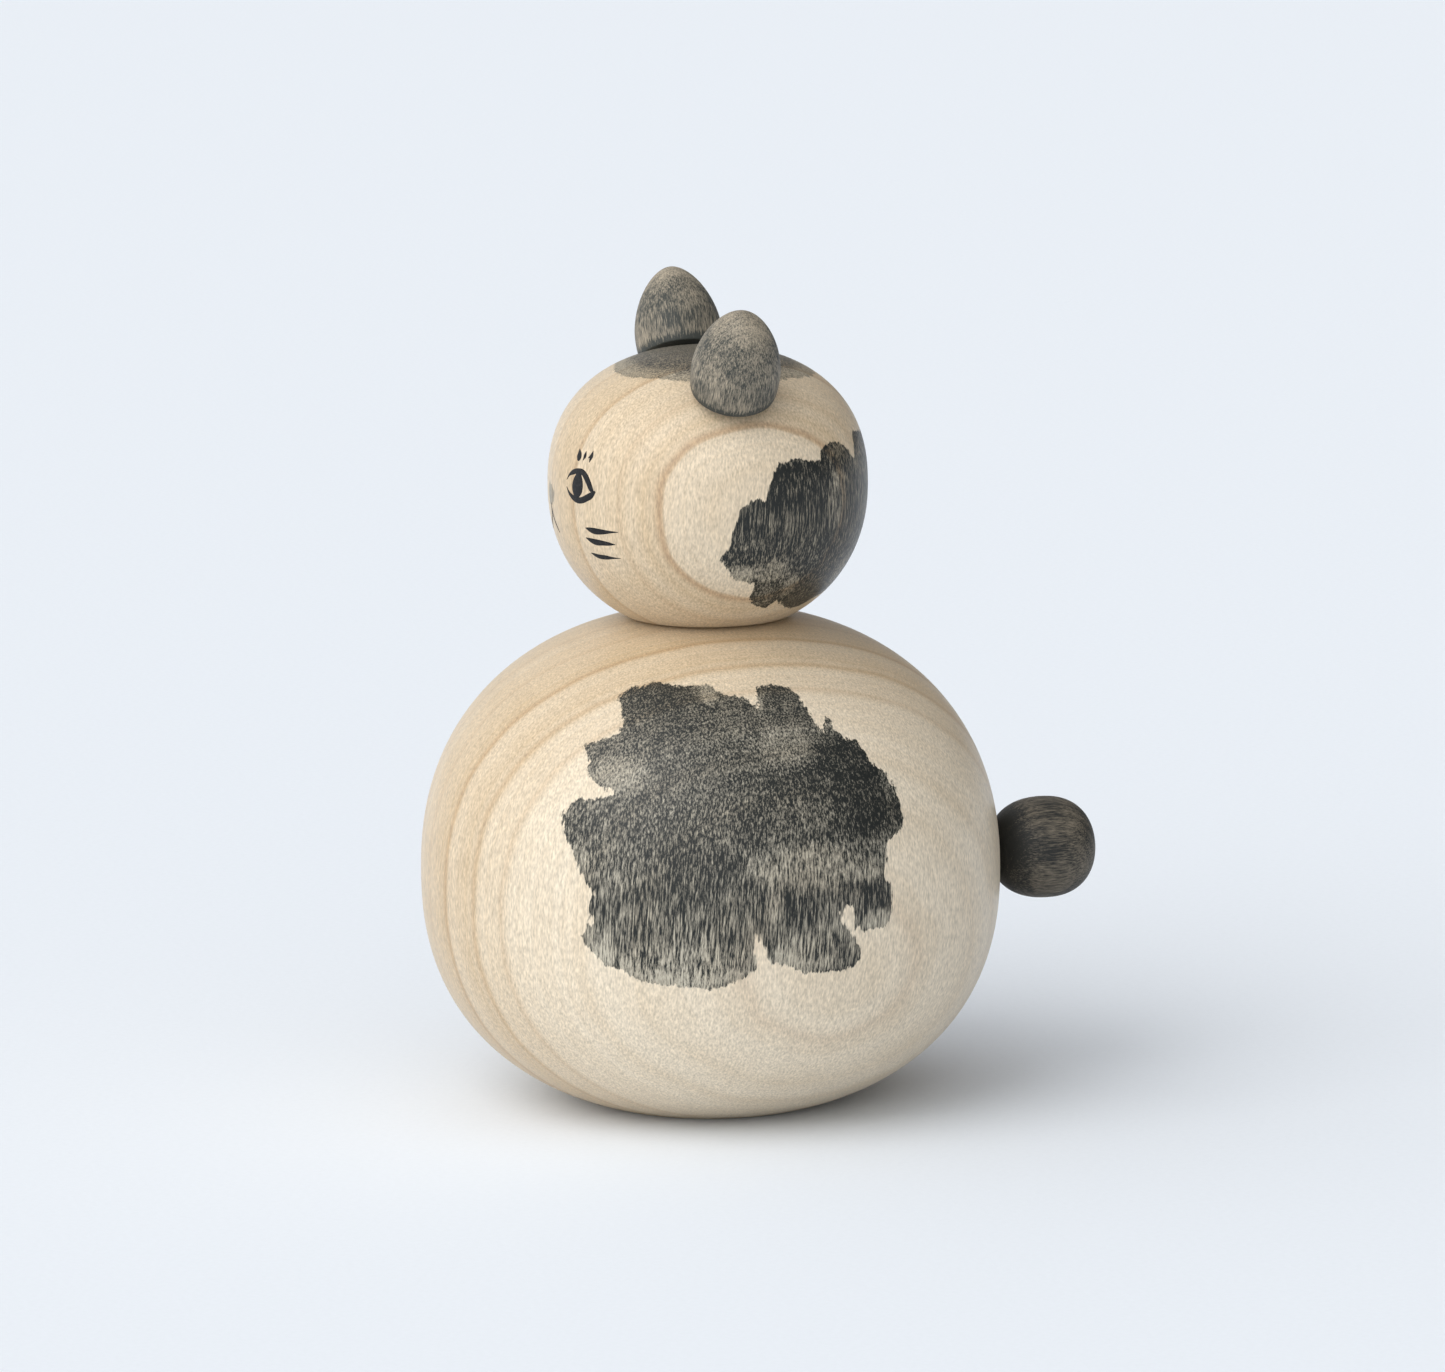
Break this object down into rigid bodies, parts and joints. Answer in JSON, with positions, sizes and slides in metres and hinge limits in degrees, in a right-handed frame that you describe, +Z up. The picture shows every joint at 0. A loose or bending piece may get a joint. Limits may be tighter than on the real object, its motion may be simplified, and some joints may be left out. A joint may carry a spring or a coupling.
{
  "type": "kokeshi doll",
  "caption": "Turned wooden cat-shaped kokeshi doll: round body, turning head with pegged ears, round tail knob, flat foot to stand on.",
  "frame": {"origin": "centre of the foot's flat underside, on the doll's turning axis", "axes": "+Z up along the turning axis, the doll faces -Y with its tail towards +Y, and +X is the doll's own left side"},
  "size_m": [0.066, 0.0781, 0.093],
  "materials": {
    "body_wood": "pale fine-grained wood, smooth satin clear finish, brushed grey-black ink patches",
    "head_wood": "pale fine-grained wood, smooth satin clear finish, brushed grey-black ink patches",
    "ear_stain": "thin grey-black ink stain with the grain showing",
    "tail_stain": "dark grey-black ink stain with the grain showing",
    "peg_wood": "bare wood",
    "brush_ink": "black ink brushed on the wood, satin"
  },
  "bodies": {
    "body": {"body": "body_wood", "tail": "tail_stain", "tail_peg": "peg_wood"},
    "head": {"head": "head_wood", "neck_peg": "peg_wood", "ear_left": "ear_stain", "ear_right": "ear_stain", "ear_peg_left": "peg_wood", "ear_peg_right": "peg_wood"}
  },
  "joints": [
    {"name": "head_turn", "type": "hinge", "parent": "body", "child": "head", "pos_m": [0, 0, 0.0557], "axis": [0, 0, 1], "continuous": true}
  ]
}
